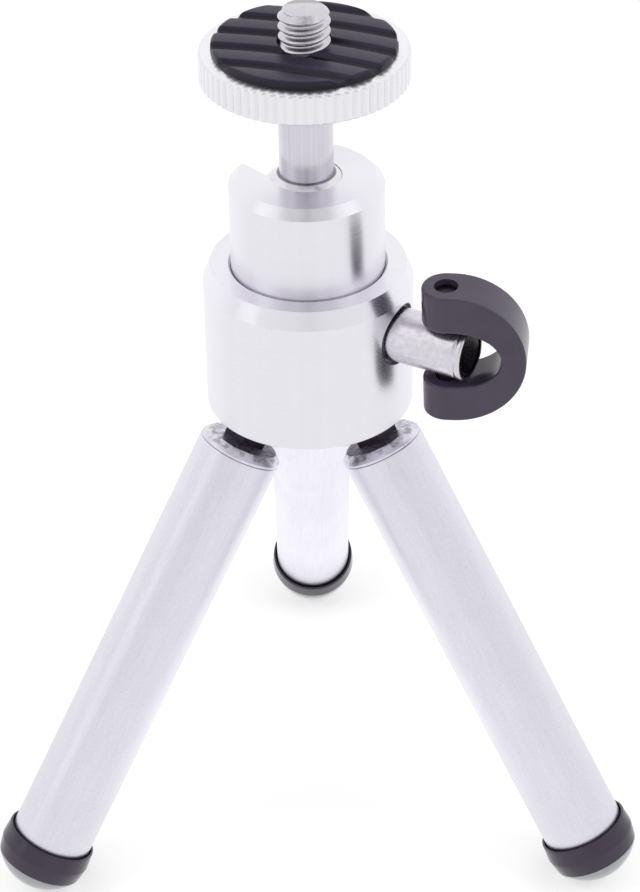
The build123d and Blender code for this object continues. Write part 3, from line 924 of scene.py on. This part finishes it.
def make_floor():
    """Pale floor that keeps the object's shadow, and is a light table in reflections."""
    half = FLOOR_HALF * MM
    corners = [(-half, -half, 0), (half, -half, 0), (half, half, 0), (-half, half, 0)]
    made = add_object("floor", corners, [(0, 1, 2, 3)])
    g = new_material("floor_paint")
    g.set(Base_Color=FLOOR_GREY, Roughness=FLOOR_ROUGHNESS, Specular_IOR_Level=0.0)
    ray = g.add("LightPath", {}).outputs
    glow = g.add("Emission", {"Strength": g.math("MULTIPLY", ray["Is Camera Ray"], FLOOR_GLOW)})
    seen = g.add("AddShader", {0: g.shader.outputs[0], 1: glow.outputs[0]}).outputs[0]
    ramp = g.span(g.split(g.place())["Y"], 0, FLOOR_BACK * MM, FLOOR_LIGHT_FRONT, FLOOR_LIGHT_BACK)
    from_middle = g.vector("DISTANCE", g.place(), metres(FLOOR_MIDDLE))["Value"]
    between_legs = g.smooth(from_middle, *metres(FLOOR_MIDDLE_FADE), FLOOR_LIGHT_MIDDLE, 0)
    table = g.add("Emission", {"Strength": g.math("ADD", ramp, between_legs)}).outputs[0]
    both = g.add("MixShader", {0: ray["Is Glossy Ray"], 1: seen, 2: table})
    g.tree.links.new(both.outputs[0], g.tree.nodes["Material Output"].inputs["Surface"])
    made.data.materials.append(g.owner)


def make_world():
    """White surroundings. Reflections also show a dim front, a dark stripe, two boxes and a panel."""
    world = bpy.data.worlds.new("studio")
    bpy.context.scene.world = world
    g = Graph(world, "Background")
    towards = g.add("TexCoord", {}).outputs["Generated"]
    front_above = g.dot(towards, FRONT_ABOVE)
    patch = g.smooth(front_above, *PATCH_SPAN, 1, PATCH_LIGHT)
    front = g.smooth(g.dot(towards, FRONT), *FRONT_SPAN, 1, FRONT_LIGHT)
    stripe = g.smooth(g.math("ABSOLUTE", g.dot(towards, SIDE)), *STRIPE_SPAN, STRIPE_LIGHT, 1)
    ahead = g.smooth(front_above, *STRIPE_ABOVE_SPAN, 0, 1)
    core = g.math("ADD", g.math("MULTIPLY", stripe, ahead), g.math("SUBTRACT", 1, ahead))
    dimmed = g.math("MULTIPLY", g.math("MULTIPLY", patch, front), core)
    nearest_box = g.math("MAXIMUM", *(g.dot(towards, box) for box in BOXES))
    boxes = g.smooth(nearest_box, *BOX_SPAN, 0, BOX_LIGHT)
    first, last = (g.dot(towards, (cos(side), sin(side), 0)) for side in PANEL_SIDES)
    into_panel = g.math("MINIMUM", first, g.math("MULTIPLY", last, -1))
    below_top = g.span(g.dot(towards, UP), *PANEL_TOP_SPAN, 1, 0)
    panel = g.math("MULTIPLY", g.smooth(into_panel, *PANEL_SPAN, 0, PANEL_LIGHT), below_top)
    lit = g.math("ADD", g.math("MULTIPLY", dimmed, WORLD_FOR_GLOSSY), boxes)
    ray = g.add("LightPath", {}).outputs
    light = g.pick(ray["Is Glossy Ray"], WORLD_FOR_DIFFUSE, g.math("ADD", lit, panel))
    g.set(Color=(1, 1, 1, 1), Strength=g.pick(ray["Is Camera Ray"], light, WHITE))


def add_softbox(name, azimuth):
    """Square lamp that looks at the tripod's head."""
    lamp = bpy.data.lights.new(name, "AREA")
    lamp.shape = "SQUARE"
    lamp.size = SOFTBOX_SIZE * MM
    lamp.energy = SOFTBOX_POWER
    made = bpy.data.objects.new(name, lamp)
    bpy.context.scene.collection.objects.link(made)
    level = cos(SOFTBOX_ELEVATION)
    away = Vector((sin(azimuth) * level, -cos(azimuth) * level, sin(SOFTBOX_ELEVATION)))
    made.location = Vector(metres(SOFTBOX_TARGET)) + away * (SOFTBOX_DISTANCE * MM)
    made.rotation_euler = away.to_track_quat("Z", "Y").to_euler()
    made.visible_camera = False
    made.visible_glossy = False


def make_camera():
    """Camera of the photograph's view: in front, above, with a long lens."""
    level_part = cos(CAMERA_PITCH)
    forward = Vector((sin(CAMERA_YAW) * level_part, cos(CAMERA_YAW) * level_part, sin(CAMERA_PITCH)))
    level = forward.cross(UP).normalized()
    upright = level.cross(forward)
    right = level * cos(CAMERA_ROLL) + upright * sin(CAMERA_ROLL)
    top = upright * cos(CAMERA_ROLL) - level * sin(CAMERA_ROLL)
    lens = bpy.data.cameras.new("camera")
    lens.sensor_width = CAMERA_SENSOR
    lens.lens = CAMERA_LENS
    made = bpy.data.objects.new("camera", lens)
    turn = Matrix((right, top, -forward)).transposed()
    made.matrix_world = Matrix.Translation(metres(CAMERA_PLACE)) @ turn.to_4x4()
    bpy.context.scene.collection.objects.link(made)
    bpy.context.scene.camera = made


make_camera()
make_floor()
make_world()
add_softbox("left_softbox", -SOFTBOX_AZIMUTH)
add_softbox("right_softbox", SOFTBOX_AZIMUTH)

dress_kept_nodes()
for leg_name in LEGS:
    make_leg(leg_name)
make_platform()
make_pad()
make_stud()
make_barrel()

bpy.context.scene.view_settings.view_transform = "Standard"
